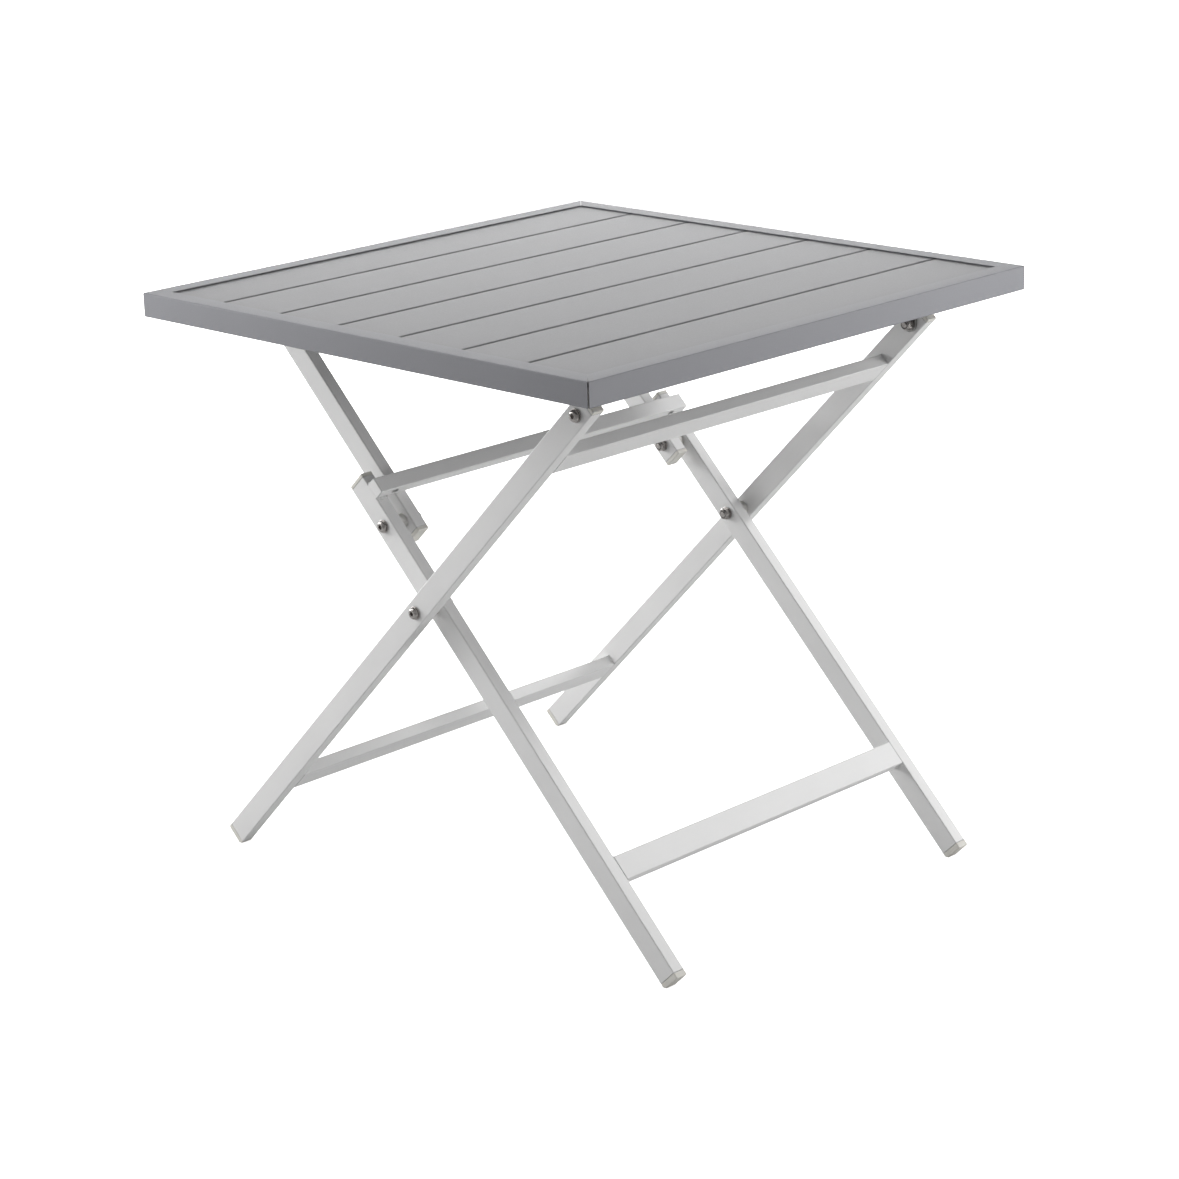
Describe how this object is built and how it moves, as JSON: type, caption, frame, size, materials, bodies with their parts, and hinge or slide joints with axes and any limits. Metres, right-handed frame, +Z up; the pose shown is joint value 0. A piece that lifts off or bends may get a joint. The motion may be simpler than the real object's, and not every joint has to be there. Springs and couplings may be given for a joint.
{
  "type": "folding picnic table",
  "caption": "Square folding table with a slatted metal top on crossed tube legs, held open by two straight locking struts.",
  "frame": {"origin": "on the floor under the middle of the tabletop", "axes": "+X along the slats, +Y across them toward the struts, +Z up"},
  "size_m": [0.72, 0.7272, 0.7],
  "materials": {
    "rail_grey": "satin grey powder coat",
    "slat_grey": "satin grey powder coat",
    "leg_white": "matt off-white powder coat",
    "cap_white": "moulded off-white plastic",
    "stainless": "plain stainless fasteners",
    "bracket_steel": "dark zinc-plated steel",
    "spacer_nylon": "natural nylon"
  },
  "bodies": {
    "top": {"rail_front": "rail_grey", "rail_back": "rail_grey", "rail_left": "rail_grey", "rail_right": "rail_grey", "slat_1": "slat_grey", "slat_2": "slat_grey", "slat_3": "slat_grey", "slat_4": "slat_grey", "slat_5": "slat_grey", "slat_6": "slat_grey", "slat_7": "slat_grey", "batten_left": "slat_grey", "batten_right": "slat_grey", "bracket_a_left": "bracket_steel", "bracket_a_right": "bracket_steel", "bracket_c_left": "bracket_steel", "bracket_c_right": "bracket_steel", "bolt_top_a_left": "stainless", "bolt_top_a_right": "stainless", "nut_top_a_left": "stainless", "nut_top_a_right": "stainless", "bolt_top_c_left": "stainless", "bolt_top_c_right": "stainless", "nut_top_c_left": "stainless", "nut_top_c_right": "stainless"},
    "frame_a": {"leg_a_left": "leg_white", "leg_a_right": "leg_white", "crossbar_a_upper": "leg_white", "crossbar_a_lower": "leg_white", "cap_a_top_left": "cap_white", "cap_a_top_right": "cap_white", "foot_a_left": "cap_white", "foot_a_right": "cap_white", "bolt_cross_left": "stainless", "bolt_cross_right": "stainless"},
    "struts": {"strut_left": "leg_white", "strut_right": "leg_white", "cap_strut_top_left": "cap_white", "cap_strut_top_right": "cap_white", "cap_strut_low_left": "cap_white", "cap_strut_low_right": "cap_white"},
    "frame_b": {"leg_b_left": "leg_white", "leg_b_right": "leg_white", "crossbar_b_lower": "leg_white", "crossbar_b_stop": "leg_white", "cap_b_top_left": "cap_white", "cap_b_top_right": "cap_white", "foot_b_left": "cap_white", "foot_b_right": "cap_white", "nut_cross_left": "stainless", "nut_cross_right": "stainless", "spacer_cross_left": "spacer_nylon", "spacer_cross_right": "spacer_nylon", "bolt_elbow_left": "stainless", "bolt_elbow_right": "stainless", "nut_elbow_left": "stainless", "nut_elbow_right": "stainless", "spacer_elbow_left": "spacer_nylon", "spacer_elbow_right": "spacer_nylon"}
  },
  "joints": [
    {"name": "frame_a_fold", "type": "hinge", "parent": "top", "child": "frame_a", "pos_m": [0, -0.2655, 0.636], "axis": [1, 0, 0], "range_deg": [0, 40.8]},
    {"name": "strut_fold", "type": "hinge", "parent": "top", "child": "struts", "pos_m": [0, 0.2655, 0.636], "axis": [-1, 0, 0], "range_deg": [0, 42.82]},
    {"name": "elbow_fold", "type": "hinge", "parent": "struts", "child": "frame_b", "pos_m": [0, 0.07918, 0.44686], "axis": [1, 0, 0], "range_deg": [0, 168]}
  ],
  "couplings": [
    {"joint": "strut_fold", "follows": "frame_a_fold", "ratio": 1.0493},
    {"joint": "elbow_fold", "follows": "frame_a_fold", "ratio": 4.1174}
  ]
}
